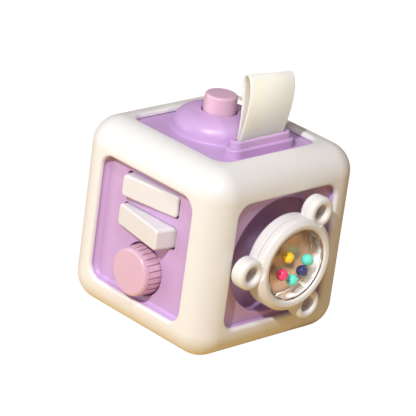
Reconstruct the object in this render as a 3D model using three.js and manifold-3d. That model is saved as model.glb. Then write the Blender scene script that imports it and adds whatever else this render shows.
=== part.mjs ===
// Baby activity cube: a soft-edged white cube whose faces carry two rocker keys and a dial, a push
// button with a pull ribbon, a spinning bead rattle, a slider, a mirror and a battery base.
// Millimetres, +Z up, origin at the centre of the cube's underside. Front is -Y, rattle side is +X.
import * as THREE from "three";
import { mergeVertices } from "three/addons/utils/BufferGeometryUtils.js";
import { RoundedBoxGeometry } from "three/addons/geometries/RoundedBoxGeometry.js";
import Module from "manifold-3d";

const wasm = await Module();
wasm.setup();

// ---------- driving dimensions ----------
const CUBE = 120;
const HALF = CUBE / 2; // every face plane is this far from the cube's centre
const EDGE_R = 18;
const WALL = 2.6;
const GAP = 0.3; // air between two pieces that touch on the real toy
const OPENING = 40; // half side of the square opening in each face
const OPENING_R = 9;

const FLANGE = 43.2; // half side of the panel rim trapped behind the shell wall
const FLANGE_R = 12;
const FLANGE_TOP = HALF - WALL - 2 * GAP;
const SKIN = 2; // wall thickness of the panels

const FRONT_FLOOR = 53.5;
const KEY_PITCH = 20;
const KEY_MID_V = 17.4; // height of the keys' middle line above the cube's centre
const KEY_HEIGHT = 13.6;
const KEY_LEFT = 8.2; // key end to pin, short side
const KEY_RIGHT = 34.8;
const KEY_FRONT = 9.2; // pin axis to the key's face
const KEY_BACK = 6;
const KEY_SLOT_CLEAR = 0.6;
const KEY_PIN_U = -12.8;
const KEY_PIN_W = 50;
const KEY_PIN_R = 1.5;
const UPPER_TILT = -8; // degrees; positive stands the long end out
const LOWER_TILT = 10.5;

const DIAL_V = -20.8;
const DIAL_R = 15.6;
const DIAL_FRONT = 65;
const DIAL_WELL_R = 16.6;
const DIAL_WELL_FLOOR = 49;
const DIAL_FLUTES = 24;

const BUTTON_U = -7;
const BUTTON_R = 10.3;
const BUTTON_TOP = 80.2;
const BUTTON_FLANGE_LOW = 55;
const DOME_R = 27;
const DOME_TOP = 69.5;
const TOP_FLOOR = 56.8;
const SEAT_FLOOR = 45;

const BOSS_U = 29;
const BOSS_LOW_TOP = 62.4;
const BOSS_HIGH_TOP = 66.8;
const STRAP_WIDTH = 36;
const STRAP_THICK = 1;
const STRAP_TOP = 108.5;
const STRAP_FOOT = 18;

const SIDE_FLOOR = 55; // visible surface of the rattle, slider and mirror panels
const WELL_R = 36.4;
const WELL_FLOOR = 43;
const RATTLE_R = 29.2;
const RATTLE_BACK = 59;
const RATTLE_SEAM = 67;
const RATTLE_FRONT = 74.2;
const WINDOW_R = 22.6;
const EAR_ORBIT = 34.2;
const EAR_R = 9.6;
const EAR_HOLE_R = 4.9;
const EAR_ANGLES = [60, 180, -60];
const BEAD_R = 3.5;
const BEAD_W = 68;
const SPINDLE_R = 4.5;

const SLIDER_TRAVEL = 17;
const SLIDER_KNOB_R = 9;
const MIRROR_R = 30;

const DOOR_U = 33;
const DOOR_V = 17;
const DOOR_MID_V = -20.5;
const DOOR_SCREW_U = 29.5;
const CELL_R = 5.2;
const CELL_LENGTH = 44.5;
const SPEAKER_V = 24;
const SPEAKER_R = 13;

const WHITE = { color: 0xf5f2ec, roughness: 0.45, metalness: 0 };
const LILAC = { color: 0xcfa8dd, roughness: 0.4, metalness: 0 };
const PINK = { color: 0xe9bcd0, roughness: 0.4, metalness: 0 };
const CREAM = { color: 0xefe8d6, roughness: 0.9, metalness: 0 };
const CLEAR = { color: 0xffffff, roughness: 0.05, metalness: 0, transparent: true, opacity: 0.3 };
const SILVER = { color: 0xc9c1b2, roughness: 0.2, metalness: 0.8 };
const STEEL = { color: 0xaeb1b5, roughness: 0.35, metalness: 1 };
const GREEN = { color: 0x2d7a4b, roughness: 0.6, metalness: 0 };
const BLACK = { color: 0x26262a, roughness: 0.6, metalness: 0 };
const CELL = { color: 0x8d9499, roughness: 0.35, metalness: 0.3 };

// ---------- solids ----------
function solid(geometry) {
  const bare = geometry.clone();
  bare.deleteAttribute("normal");
  bare.deleteAttribute("uv");
  const merged = mergeVertices(bare, 1e-4);
  return new wasm.Manifold(
    new wasm.Mesh({
      numProp: 3,
      vertProperties: merged.attributes.position.array,
      triVerts: new Uint32Array(merged.index.array),
    }),
  );
}

function geometryOf(body) {
  const mesh = body.getMesh();
  const geometry = new THREE.BufferGeometry();
  geometry.setAttribute("position", new THREE.BufferAttribute(mesh.vertProperties, 3));
  geometry.setIndex(new THREE.BufferAttribute(mesh.triVerts, 1));
  geometry.computeVertexNormals();
  return geometry;
}

const joined = (first, ...rest) => rest.reduce((all, next) => all.add(next), first);
const cut = (body, ...tools) => tools.reduce((left, tool) => left.subtract(tool), body);

function box(u0, u1, v0, v1, w0, w1) {
  const block = new THREE.BoxGeometry(u1 - u0, v1 - v0, w1 - w0);
  block.translate((u0 + u1) / 2, (v0 + v1) / 2, (w0 + w1) / 2);
  return solid(block);
}

// a rod along w, from w0 to w1
function rod(u, v, radius, w0, w1, sides = 20) {
  const round = new THREE.CylinderGeometry(radius, radius, w1 - w0, sides);
  round.rotateX(Math.PI / 2).translate(u, v, (w0 + w1) / 2);
  return solid(round);
}

// a solid of revolution about a line parallel to w; the profile is [radius, w] from bottom to top
function turned(u, v, profile, sides = 24) {
  const points = profile.map(([radius, w]) => new THREE.Vector2(radius, w));
  return solid(new THREE.LatheGeometry(points, sides).rotateX(Math.PI / 2).translate(u, v, 0));
}

function roundedRect(halfU, halfV, radius, u = 0, v = 0) {
  const shape = new THREE.Shape();
  shape.absarc(u + halfU - radius, v - halfV + radius, radius, -Math.PI / 2, 0);
  shape.absarc(u + halfU - radius, v + halfV - radius, radius, 0, Math.PI / 2);
  shape.absarc(u - halfU + radius, v + halfV - radius, radius, Math.PI / 2, Math.PI);
  shape.absarc(u - halfU + radius, v - halfV + radius, radius, Math.PI, 1.5 * Math.PI);
  return shape;
}

// the shape, raised along w from w0 to w1, with its two rims rounded off by soft
function raised(shape, w0, w1, soft = 0, corner = 2) {
  const geometry = new THREE.ExtrudeGeometry(shape, {
    depth: w1 - w0 - 2 * soft,
    curveSegments: corner,
    bevelEnabled: soft > 0,
    bevelThickness: soft,
    bevelSize: soft,
    bevelOffset: -soft,
    bevelSegments: 2,
  });
  return solid(geometry.translate(0, 0, w0 + soft));
}

const below = (w) => box(-HALF, HALF, -HALF, HALF, -HALF, w);

// ---------- scene graph: one group for each face, u to the right, v up, w outwards ----------
const cube = new THREE.Group();

function face(u, v) {
  const group = new THREE.Group();
  const right = new THREE.Vector3(...u);
  const up = new THREE.Vector3(...v);
  const out = new THREE.Vector3().crossVectors(right, up);
  group.applyMatrix4(new THREE.Matrix4().makeBasis(right, up, out).setPosition(0, 0, HALF));
  cube.add(group);
  return group;
}

const front = face([1, 0, 0], [0, 0, 1]);
const back = face([-1, 0, 0], [0, 0, 1]);
const right = face([0, 1, 0], [0, 0, 1]);
const left = face([0, -1, 0], [0, 0, 1]);
const top = face([1, 0, 0], [0, 1, 0]);
const base = face([1, 0, 0], [0, -1, 0]);

function add(group, name, body, look) {
  const mesh = new THREE.Mesh(geometryOf(body), new THREE.MeshStandardMaterial(look));
  mesh.name = name;
  group.add(mesh);
  return mesh;
}

// ---------- outer shell: two halves screwed together on the plane x = 0 ----------
const SCREW_POST = 50.5; // distance of the screw posts from the middle, in y and in z
const POST_LENGTH = 14;

function shellHalf(side) {
  const outer = solid(new RoundedBoxGeometry(CUBE, CUBE, CUBE, 3, EDGE_R));
  const inner = CUBE - 2 * WALL;
  const hollow = solid(new RoundedBoxGeometry(inner, inner, inner, 3, EDGE_R - WALL));
  const window = new THREE.ExtrudeGeometry(roundedRect(OPENING, OPENING, OPENING_R), {
    depth: CUBE + 2,
    curveSegments: 2,
    bevelEnabled: false,
  }).translate(0, 0, -HALF - 1);
  const openings = [
    solid(window),
    solid(window.clone().rotateX(Math.PI / 2)),
    solid(window.clone().rotateY(Math.PI / 2)),
  ];
  const reach = side < 0 ? [-HALF - 1, -GAP / 2] : [GAP / 2, HALF + 1];
  const keep = box(...reach, -HALF - 1, HALF + 1, -HALF - 1, HALF + 1);
  let half = cut(outer, hollow, ...openings).intersect(keep);
  for (const y of [-SCREW_POST, SCREW_POST]) {
    for (const z of [-SCREW_POST, SCREW_POST]) {
      const post = alongX(y, z, 4, side * (GAP / 2), side * POST_LENGTH, 10);
      const hole = alongX(y, z, side < 0 ? 1.7 : 1.4, 0, side * (POST_LENGTH + 1), 8);
      half = cut(half.add(post), hole);
    }
  }
  return half;
}

function alongX(y, z, radius, x0, x1, sides) {
  const rodGeometry = new THREE.CylinderGeometry(radius, radius, Math.abs(x1 - x0), sides);
  return solid(rodGeometry.rotateZ(Math.PI / 2).translate((x0 + x1) / 2, y, z));
}

const core = face([1, 0, 0], [0, 1, 0]); // plain x, y, z from the cube's centre
add(core, "shell_left", shellHalf(-1), WHITE);
add(core, "shell_right", shellHalf(1), WHITE);

let screwNumber = 0;
for (const y of [-SCREW_POST, SCREW_POST]) {
  for (const z of [-SCREW_POST, SCREW_POST]) {
    screwNumber += 1;
    const head = alongX(y, z, 2.8, -POST_LENGTH - GAP - 2, -POST_LENGTH - GAP, 10);
    const shank = alongX(y, z, 1.1, -POST_LENGTH - GAP - 1, POST_LENGTH - 3, 6);
    add(core, `case_screw_${screwNumber}`, head.add(shank), STEEL);
  }
}

// ---------- panels: a rim behind the shell wall and a tray that dips to its floor ----------
function tray(floor, soft) {
  const rim = raised(roundedRect(FLANGE, FLANGE, FLANGE_R), FLANGE_TOP - SKIN, FLANGE_TOP);
  const dip = (half, low) => raised(roundedRect(half, half, OPENING_R), low, HALF + 12, soft);
  const dish = dip(OPENING + 0.6 + SKIN, floor - SKIN).intersect(below(FLANGE_TOP));
  return cut(rim.add(dish), dip(OPENING + 0.6, floor));
}

// front panel, with the key slots, the dial well, the pin lugs and the circuit board posts
const keyCentre = (KEY_RIGHT - KEY_LEFT) / 2 + KEY_PIN_U;
const slotHalf = (KEY_RIGHT + KEY_LEFT) / 2 + 1.9;
const upperV = KEY_MID_V + KEY_PITCH / 2;
const lowerV = KEY_MID_V - KEY_PITCH / 2;
const BOARD_W = 31.6;

let frontPanel = tray(FRONT_FLOOR, 3);
for (const v of [upperV, lowerV]) {
  const slot = roundedRect(slotHalf, KEY_HEIGHT / 2 + KEY_SLOT_CLEAR, 2.6, keyCentre + 0.3, v);
  frontPanel = cut(frontPanel, raised(slot, 40, HALF));
}
frontPanel = joined(frontPanel, rod(0, DIAL_V, DIAL_WELL_R + SKIN, DIAL_WELL_FLOOR - SKIN, 52.5, 28));
frontPanel = cut(
  frontPanel,
  rod(0, DIAL_V, DIAL_WELL_R, DIAL_WELL_FLOOR, HALF, 32),
  rod(0, DIAL_V, 3.6, 40, HALF, 12),
);
const lugGap = KEY_HEIGHT / 2 + KEY_SLOT_CLEAR;
const lugs = [
  [upperV + lugGap, upperV + lugGap + 2.4],
  [lowerV + lugGap, upperV - lugGap],
  [lowerV - lugGap - 2.4, lowerV - lugGap],
];
for (const [v0, v1] of lugs) {
  frontPanel = joined(frontPanel, box(KEY_PIN_U - 3, KEY_PIN_U + 3, v0, v1, 46.5, 52.5));
}
function alongV(u, w, radius, v0, v1, sides = 12) {
  const pin = new THREE.CylinderGeometry(radius, radius, v1 - v0, sides);
  return solid(pin.translate(u, (v0 + v1) / 2, w));
}
frontPanel = cut(frontPanel, alongV(KEY_PIN_U, KEY_PIN_W, KEY_PIN_R + GAP, -8, 45));
for (const u of [-27, 27]) {
  for (const v of [-3, 36]) {
    frontPanel = joined(frontPanel, rod(u, v, 2.5, BOARD_W + GAP, 52.5, 8));
  }
}
add(front, "front_panel", frontPanel, LILAC);
const pinTop = upperV + lugGap + 2;
add(front, "key_pin", alongV(KEY_PIN_U, KEY_PIN_W, KEY_PIN_R, lowerV - lugGap - 2, pinTop), STEEL);

// a key is modelled about its pin, then turned to the tilt it rests at
function addKey(name, v, tilt) {
  const outline = roundedRect((KEY_RIGHT + KEY_LEFT) / 2, KEY_HEIGHT / 2, 2, (KEY_RIGHT - KEY_LEFT) / 2);
  const block = raised(outline, -KEY_BACK, KEY_FRONT, 1.2);
  const bored = cut(block, alongV(0, 0, KEY_PIN_R + GAP, -HALF, HALF));
  const key = add(front, name, bored, WHITE);
  key.position.set(KEY_PIN_U, v, KEY_PIN_W);
  key.rotation.y = THREE.MathUtils.degToRad(-tilt);
}
addKey("key_upper", upperV, UPPER_TILT);
addKey("key_lower", lowerV, LOWER_TILT);

// circuit board behind the keys, with one switch under each key's long end
const board = box(-30, 30, -6, 39, BOARD_W - 1.6, BOARD_W);
add(front, "circuit_board", board, GREEN);
for (const [name, v] of [["key_switch_upper", upperV], ["key_switch_lower", lowerV]]) {
  const body = box(12.2, 20.2, v - 4, v + 4, BOARD_W + GAP, 37.6);
  add(front, name, body.add(rod(16.2, v, 1.6, 37, 39.3, 12)), BLACK);
}

// dial, with its fluted rim, and the clip that holds its shaft
function flutedOutline() {
  const shape = new THREE.Shape();
  const steps = DIAL_FLUTES * 2;
  for (let i = 0; i < steps; i += 1) {
    const angle = (2 * Math.PI * i) / steps;
    const radius = i % 2 ? DIAL_R : DIAL_R - 0.7;
    const point = [radius * Math.cos(angle), DIAL_V + radius * Math.sin(angle)];
    if (i === 0) shape.moveTo(...point);
    else shape.lineTo(...point);
  }
  shape.closePath();
  return shape;
}
const dialLow = DIAL_WELL_FLOOR + 0.6;
const dialFace = turned(0, DIAL_V, [
  [0, DIAL_FRONT - 4],
  [DIAL_R - 0.5, DIAL_FRONT - 4],
  [DIAL_R - 0.5, DIAL_FRONT - 2],
  [DIAL_R - 1.1, DIAL_FRONT - 0.6],
  [DIAL_R - 2.5, DIAL_FRONT],
  [0, DIAL_FRONT],
]);
const dialRim = raised(flutedOutline(), dialLow, DIAL_FRONT - 2.2);
const dialShaft = rod(0, DIAL_V, 3.2, 42, dialLow + 1, 16);
add(front, "dial_knob", joined(dialRim, dialFace, dialShaft), PINK);
const clip = cut(rod(0, DIAL_V, 6, 44.8, 46.4, 20), rod(0, DIAL_V, 3.5, 44, 47, 16));
add(front, "dial_clip", clip, STEEL);

// ---------- top panel: dome with the push button, stepped boss with the ribbon slot ----------
const domeOuter = [
  [0, 55.5],
  [DOME_R, 55.5],
  [DOME_R, 59.5],
  [25.4, 63.6],
  [21.4, 67],
  [15.6, 69],
  [11, DOME_TOP],
  [0, DOME_TOP],
];
const domeInner = [
  [0, 53],
  [DOME_R - SKIN, 53],
  [DOME_R - SKIN, 59],
  [20, 65],
  [11, DOME_TOP - SKIN],
  [0, DOME_TOP - SKIN],
];
const guideR = BUTTON_R + 0.6;
const plate = raised(roundedRect(FLANGE, FLANGE, FLANGE_R), TOP_FLOOR - SKIN, TOP_FLOOR);
const bossLow = raised(roundedRect(6.3, 25.6, 4, BOSS_U), TOP_FLOOR - 1, BOSS_LOW_TOP, 0.8);
const bossHigh = raised(roundedRect(4.3, 22.8, 3, BOSS_U), TOP_FLOOR - 1, BOSS_HIGH_TOP, 0.8);
const guide = rod(BUTTON_U, 0, guideR + SKIN, BUTTON_FLANGE_LOW + 2.2, DOME_TOP - 1, 24);
const topPanel = cut(
  joined(
    cut(joined(plate, turned(BUTTON_U, 0, domeOuter)), turned(BUTTON_U, 0, domeInner)),
    guide,
    bossLow,
    bossHigh,
  ),
  rod(BUTTON_U, 0, guideR, 50, 75, 24),
  box(BOSS_U - 1.9, BOSS_U + 2.3, -19.5, 19.5, 50, 75),
);
add(top, "top_panel", topPanel, LILAC);

const buttonProfile = [
  [8.3, BUTTON_FLANGE_LOW],
  [12.5, BUTTON_FLANGE_LOW],
  [12.5, BUTTON_FLANGE_LOW + 1.8],
  [BUTTON_R, BUTTON_FLANGE_LOW + 1.8],
  [BUTTON_R, BUTTON_TOP - 2.2],
  [BUTTON_R - 0.6, BUTTON_TOP - 0.8],
  [BUTTON_R - 2.2, BUTTON_TOP],
  [0, BUTTON_TOP],
  [0, BUTTON_FLANGE_LOW],
  [2, BUTTON_FLANGE_LOW],
  [2, BUTTON_TOP - 3],
  [8.3, BUTTON_TOP - 3],
  [8.3, BUTTON_FLANGE_LOW],
];
add(top, "push_button", turned(BUTTON_U, 0, buttonProfile, 24), PINK);

const seatTop = TOP_FLOOR - SKIN - GAP;
const seatProfile = [
  [0, SEAT_FLOOR - SKIN],
  [16, SEAT_FLOOR - SKIN],
  [16, seatTop],
  [14, seatTop],
  [14, SEAT_FLOOR],
  [0, SEAT_FLOOR],
];
add(top, "button_seat", turned(BUTTON_U, 0, seatProfile, 20), WHITE);

const springLow = SEAT_FLOOR + 0.7;
const springHigh = BUTTON_TOP - 3.7;
class Coil extends THREE.Curve {
  getPoint(t) {
    const angle = 2 * Math.PI * 6 * t;
    const rise = springLow + (springHigh - springLow) * t;
    return new THREE.Vector3(BUTTON_U + 5.4 * Math.cos(angle), 5.4 * Math.sin(angle), rise);
  }
}
const wire = new THREE.Shape();
wire.absarc(0, 0, 0.45, 0, 2 * Math.PI);
const coil = new THREE.ExtrudeGeometry(wire, { steps: 48, curveSegments: 2, extrudePath: new Coil() });
add(top, "button_spring", solid(coil), STEEL);
const clickBody = box(BUTTON_U - 3, BUTTON_U + 3, -3, 3, SEAT_FLOOR + GAP, 48.8);
add(top, "button_switch", clickBody.add(rod(BUTTON_U, 0, 1.7, 48, 50.6, 12)), BLACK);

// ribbon: a flat loop of tape, doubled over, with both tails held on a bar inside
function strapOutline() {
  const foot = BOSS_U + 0.2;
  const outer = new THREE.Shape();
  outer.moveTo(foot - 1.2, STRAP_FOOT);
  outer.lineTo(foot + 1.2, STRAP_FOOT);
  outer.lineTo(foot + 1.4, 68);
  outer.bezierCurveTo(foot + 3.6, 78, foot + 4.8, 92, foot + 2.8, 103);
  outer.bezierCurveTo(foot + 1.6, STRAP_TOP + 1.8, foot - 5.2, STRAP_TOP + 1.8, foot - 4.4, 103);
  outer.bezierCurveTo(foot - 2.6, 94, foot - 0.8, 82, foot - 1.2, 68);
  outer.closePath();
  const gap = new THREE.Path();
  const t = STRAP_THICK;
  gap.moveTo(foot + 0.1, 70);
  gap.bezierCurveTo(foot - 0.1 + t, 82, foot - 2.6 + t, 94, foot - 4.4 + t, 103);
  gap.bezierCurveTo(foot - 5 + t, STRAP_TOP + 0.6, foot + 1.4 - t, STRAP_TOP + 0.6, foot + 2.8 - t, 103);
  gap.bezierCurveTo(foot + 4.8 - t, 92, foot + 3.6 - t, 78, foot + 0.1, 70);
  outer.holes.push(gap);
  return outer;
}
const strap = new THREE.ExtrudeGeometry(strapOutline(), {
  depth: STRAP_WIDTH,
  curveSegments: 7,
  bevelEnabled: false,
});
strap.rotateX(Math.PI / 2).translate(0, STRAP_WIDTH / 2, 0);
add(top, "ribbon_strap", solid(strap), CREAM);
const bar = new THREE.CylinderGeometry(2.6, 2.6, STRAP_WIDTH + 6, 14).translate(BOSS_U + 0.2, 0, STRAP_FOOT - 3);
add(top, "ribbon_stop_bar", solid(bar), WHITE);

// ---------- right panel: round well with the rattle turning on a spindle ----------
const wellOuter = rod(0, 0, WELL_R + SKIN, WELL_FLOOR - SKIN, SIDE_FLOOR - 1, 32);
const rightPanel = cut(
  joined(tray(SIDE_FLOOR, 1.6), wellOuter),
  rod(0, 0, WELL_R, WELL_FLOOR, HALF, 32),
  rod(0, 0, SPINDLE_R + 0.4, 35, HALF, 16),
);
add(right, "right_panel", rightPanel, LILAC);

function ears(w0, w1, eat) {
  const rings = EAR_ANGLES.map((degrees) => {
    const angle = THREE.MathUtils.degToRad(degrees);
    const u = EAR_ORBIT * Math.cos(angle);
    const v = EAR_ORBIT * Math.sin(angle);
    return { ring: rod(u, v, EAR_R, w0, w1, 18), hole: rod(u, v, EAR_HOLE_R, w0 - 1, w1 + 1, 12) };
  });
  const bodies = rings.map(({ ring }) => cut(ring, eat));
  return { bodies, holes: rings.map(({ hole }) => hole) };
}

const earFront = ears(RATTLE_SEAM, RATTLE_SEAM + 4.6, rod(0, 0, RATTLE_R - 1.5, 40, 90, 28));
const ringProfile = [
  [26, RATTLE_SEAM],
  [RATTLE_R, RATTLE_SEAM],
  [RATTLE_R, RATTLE_FRONT - 3],
  [RATTLE_R - 1.6, RATTLE_FRONT - 0.6],
  [RATTLE_R - 3, RATTLE_FRONT],
  [WINDOW_R, RATTLE_FRONT],
  [WINDOW_R, RATTLE_FRONT - 3.2],
  [26, RATTLE_FRONT - 3.2],
  [26, RATTLE_SEAM],
];
const frontRing = joined(turned(0, 0, ringProfile, 28), ...earFront.bodies);
add(right, "rattle_front_ring", cut(frontRing, ...earFront.holes), WHITE);

const seamBack = RATTLE_SEAM - GAP;
const earBack = ears(seamBack - 4.4, seamBack, rod(0, 0, RATTLE_R - 1.5, 40, 90, 28));
const shellProfile = [
  [0, RATTLE_BACK],
  [RATTLE_R - 2.6, RATTLE_BACK],
  [RATTLE_R, RATTLE_BACK + 3],
  [RATTLE_R, seamBack],
  [RATTLE_R - SKIN, seamBack],
  [RATTLE_R - SKIN, RATTLE_BACK + SKIN],
  [0, RATTLE_BACK + SKIN],
];
const backShell = joined(turned(0, 0, shellProfile, 28), ...earBack.bodies);
add(right, "rattle_back_shell", cut(backShell, ...earBack.holes), WHITE);
add(right, "rattle_back_disc", rod(0, 0, 26.4, RATTLE_BACK + SKIN + GAP, RATTLE_BACK + 3.4, 28), SILVER);

const lensProfile = [
  [0, 74.8],
  [14, 73.6],
  [20.6, 71],
  [20.6, 69.2],
  [25.4, 69.2],
  [25.4, 70.6],
  [WINDOW_R - 0.4, 70.6],
  [WINDOW_R - 0.4, 72.6],
  [13, 75.6],
  [0, 76.5],
];
add(right, "rattle_lens", turned(0, 0, lensProfile, 24), CLEAR);

const spindleProfile = [
  [0, 36],
  [SPINDLE_R, 36],
  [SPINDLE_R, 52],
  [9, 52],
  [9, RATTLE_BACK - GAP],
  [0, RATTLE_BACK - GAP],
];
add(right, "rattle_spindle", turned(0, 0, spindleProfile, 16), WHITE);
add(right, "rattle_clip", cut(rod(0, 0, 8, 38.4, 40, 16), rod(0, 0, SPINDLE_R + GAP, 38, 41, 12)), STEEL);

const beads = [
  ["bead_yellow", -3.4, 4.2, 0xf2bd2c],
  ["bead_teal_side", 13.6, -0.8, 0x62d6c4],
  ["bead_navy", 10.4, -7.4, 0x2c3f7d],
  ["bead_pink", -6.4, -6.4, 0xe8336e],
  ["bead_teal_low", 2.9, -11.7, 0x62d6c4],
];
for (const [name, u, v, color] of beads) {
  const ball = new THREE.SphereGeometry(BEAD_R, 10, 7).translate(u, v, BEAD_W);
  add(right, name, solid(ball), { color, roughness: 0.15, metalness: 0 });
}

// ---------- left panel: a knob that slides along a slot ----------
const track = roundedRect(SLIDER_TRAVEL + 7, 3.4, 3.3);
add(left, "left_panel", cut(tray(SIDE_FLOOR, 1.6), raised(track, 40, HALF)), LILAC);
const knobProfile = [
  [0, SIDE_FLOOR + GAP],
  [SLIDER_KNOB_R, SIDE_FLOOR + GAP],
  [SLIDER_KNOB_R, 60.6],
  [SLIDER_KNOB_R - 0.8, 62.4],
  [SLIDER_KNOB_R - 3, 63.4],
  [0, 63.4],
];
const knobNeck = box(-4, 4, -2.8, 2.8, 50.4, 56);
add(left, "slider_knob", turned(0, 0, knobProfile, 24).add(knobNeck), PINK);
const sliderPlate = cut(box(-8, 8, -8, 8, 51, 52.7), box(-4.3, 4.3, -3.1, 3.1, 50, 53));
add(left, "slider_plate", sliderPlate, WHITE);

// ---------- back panel: a round mirror in a bezel ----------
add(back, "back_panel", tray(SIDE_FLOOR, 1.6), LILAC);
add(back, "mirror_disc", rod(0, 0, MIRROR_R, SIDE_FLOOR + GAP, SIDE_FLOOR + 1.5, 32), SILVER);
const bezelProfile = [
  [MIRROR_R + GAP, SIDE_FLOOR + GAP],
  [MIRROR_R + 3.2, SIDE_FLOOR + GAP],
  [MIRROR_R + 3.2, SIDE_FLOOR + 2.8],
  [MIRROR_R + 1.8, SIDE_FLOOR + 4],
  [MIRROR_R - 1, SIDE_FLOOR + 4],
  [MIRROR_R - 2.4, SIDE_FLOOR + 2.8],
  [MIRROR_R - 2.4, SIDE_FLOOR + 1.8],
  [MIRROR_R + GAP, SIDE_FLOOR + 1.8],
  [MIRROR_R + GAP, SIDE_FLOOR + GAP],
];
add(back, "mirror_bezel", turned(0, 0, bezelProfile, 28), WHITE);

// ---------- base: flush panel, battery door and box, speaker, power switch ----------
const doorShape = (grow) => roundedRect(DOOR_U + grow, DOOR_V + grow, 3, 0, DOOR_MID_V);
const SWITCH_U = 27;
const SWITCH_V = 24;
let basePanel = joined(
  raised(roundedRect(FLANGE, FLANGE, FLANGE_R), FLANGE_TOP - SKIN, FLANGE_TOP),
  raised(roundedRect(OPENING - GAP, OPENING - GAP, OPENING_R), FLANGE_TOP - 1, HALF),
);
basePanel = cut(
  basePanel,
  raised(doorShape(GAP), 57.7, HALF + 1),
  raised(doorShape(-2.5), 50, HALF + 1),
  rod(DOOR_SCREW_U, DOOR_MID_V, 2, 50, HALF + 1, 12),
  box(SWITCH_U - 5.5, SWITCH_U + 5.5, SWITCH_V - 3, SWITCH_V + 3, 50, HALF + 1),
);
const GRILLE = [[0, 0]];
for (let i = 0; i < 6; i += 1) {
  const angle = (i * Math.PI) / 3;
  GRILLE.push([6.5 * Math.cos(angle), 6.5 * Math.sin(angle)]);
}
for (const [u, v] of GRILLE) {
  basePanel = cut(basePanel, rod(u, SPEAKER_V + v, 1.3, 50, HALF + 1, 6));
}
add(base, "base_panel", basePanel, WHITE);

const door = cut(raised(doorShape(0), 58, HALF), rod(DOOR_SCREW_U, DOOR_MID_V, 3, 50, HALF + 1, 16));
add(base, "battery_door", door, WHITE);
const doorScrewHead = rod(DOOR_SCREW_U, DOOR_MID_V, 2.6, 58, 59.4, 16);
const doorScrewShank = rod(DOOR_SCREW_U, DOOR_MID_V, 1.1, 48, 58.4, 8);
add(base, "battery_door_screw", doorScrewHead.add(doorScrewShank), STEEL);

const BOX_LOW = 41;
const BOX_TOP = FLANGE_TOP - SKIN - GAP;
const boxBlock = (halfU, halfV, w0, w1) =>
  box(-halfU, halfU, DOOR_MID_V - halfV, DOOR_MID_V + halfV, w0, w1);
const screwBlock = box(27, 33.5, DOOR_MID_V - 4, DOOR_MID_V + 4, BOX_LOW, BOX_TOP);
const batteryBox = cut(
  boxBlock(28, 18, BOX_LOW, BOX_TOP).add(screwBlock),
  boxBlock(26, 16.5, BOX_LOW + 1.6, BOX_TOP + 1),
  rod(DOOR_SCREW_U, DOOR_MID_V, 1.4, BOX_LOW + 2, BOX_TOP + 1, 10),
);
add(base, "battery_box", batteryBox, WHITE);

const cellMidW = BOX_LOW + 1.6 + GAP + CELL_R;
const cellStep = 2 * CELL_R + GAP;
for (let i = 0; i < 3; i += 1) {
  const v = DOOR_MID_V + (i - 1) * cellStep;
  const can = new THREE.CylinderGeometry(CELL_R, CELL_R, CELL_LENGTH - 1, 14);
  const nub = new THREE.CylinderGeometry(1.8, 1.8, 2, 8).translate(0, CELL_LENGTH / 2 - 0.6, 0);
  const turn = i % 2 ? Math.PI / 2 : -Math.PI / 2;
  const lay = (part) => solid(part.rotateZ(turn).translate(0, v, cellMidW));
  add(base, `battery_cell_${i + 1}`, lay(can).add(lay(nub)), CELL);
}
for (const [name, u] of [["battery_contact_left", -25.3], ["battery_contact_right", 24.9]]) {
  const strip = box(u, u + 0.4, DOOR_MID_V - 15, DOOR_MID_V + 15, BOX_LOW + 2, BOX_TOP - 1);
  add(base, name, strip, STEEL);
}

const speakerProfile = [
  [0, 44],
  [7, 44],
  [7, 48],
  [SPEAKER_R, 52],
  [SPEAKER_R, BOX_TOP],
  [SPEAKER_R - 1.2, BOX_TOP],
  [4, 52.4],
  [0, 52.8],
];
add(base, "speaker", turned(0, SPEAKER_V, speakerProfile, 20), BLACK);

const switchBody = box(SWITCH_U - 7, SWITCH_U + 7, SWITCH_V - 4.5, SWITCH_V + 4.5, 49, BOX_TOP);
const switchWell = box(SWITCH_U - 5.2, SWITCH_U + 5.2, SWITCH_V - 2.8, SWITCH_V + 2.8, 51, BOX_TOP + 1);
add(base, "power_switch_body", cut(switchBody, switchWell), BLACK);
const thumb = box(SWITCH_U - 4.6, SWITCH_U - 0.6, SWITCH_V - 2.4, SWITCH_V + 2.4, 51.4, 58.6);
add(base, "power_switch_slider", thumb, BLACK);

export default cube;
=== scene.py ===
"""Looks of a baby activity cube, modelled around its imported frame."""

import math
from contextlib import contextmanager

import bmesh
import bpy
from mathutils import Matrix, Vector


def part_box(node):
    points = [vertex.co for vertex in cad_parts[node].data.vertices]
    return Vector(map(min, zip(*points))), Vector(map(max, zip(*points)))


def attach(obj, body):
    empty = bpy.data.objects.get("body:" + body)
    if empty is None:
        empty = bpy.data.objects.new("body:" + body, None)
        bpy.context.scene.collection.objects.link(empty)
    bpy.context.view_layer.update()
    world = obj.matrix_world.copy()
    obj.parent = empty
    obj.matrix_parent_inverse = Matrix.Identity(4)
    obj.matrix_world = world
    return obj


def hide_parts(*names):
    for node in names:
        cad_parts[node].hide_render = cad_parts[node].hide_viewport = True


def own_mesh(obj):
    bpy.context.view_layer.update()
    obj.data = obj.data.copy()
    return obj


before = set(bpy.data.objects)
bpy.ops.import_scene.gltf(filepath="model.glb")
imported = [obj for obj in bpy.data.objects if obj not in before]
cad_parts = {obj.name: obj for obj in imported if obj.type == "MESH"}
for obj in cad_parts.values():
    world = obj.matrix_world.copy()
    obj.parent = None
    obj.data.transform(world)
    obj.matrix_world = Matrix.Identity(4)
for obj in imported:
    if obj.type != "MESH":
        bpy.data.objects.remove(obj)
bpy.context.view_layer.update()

bl_info = {
    "name": "Activity Cube",
    "version": (1, 0, 0),
    "blender": (4, 5, 0),
    "location": "3D View > Sidebar > Activity Cube",
    "description": "Builds the shell, panels, moving pieces and finishes of a baby activity cube",
    "category": "Object",
}

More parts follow.
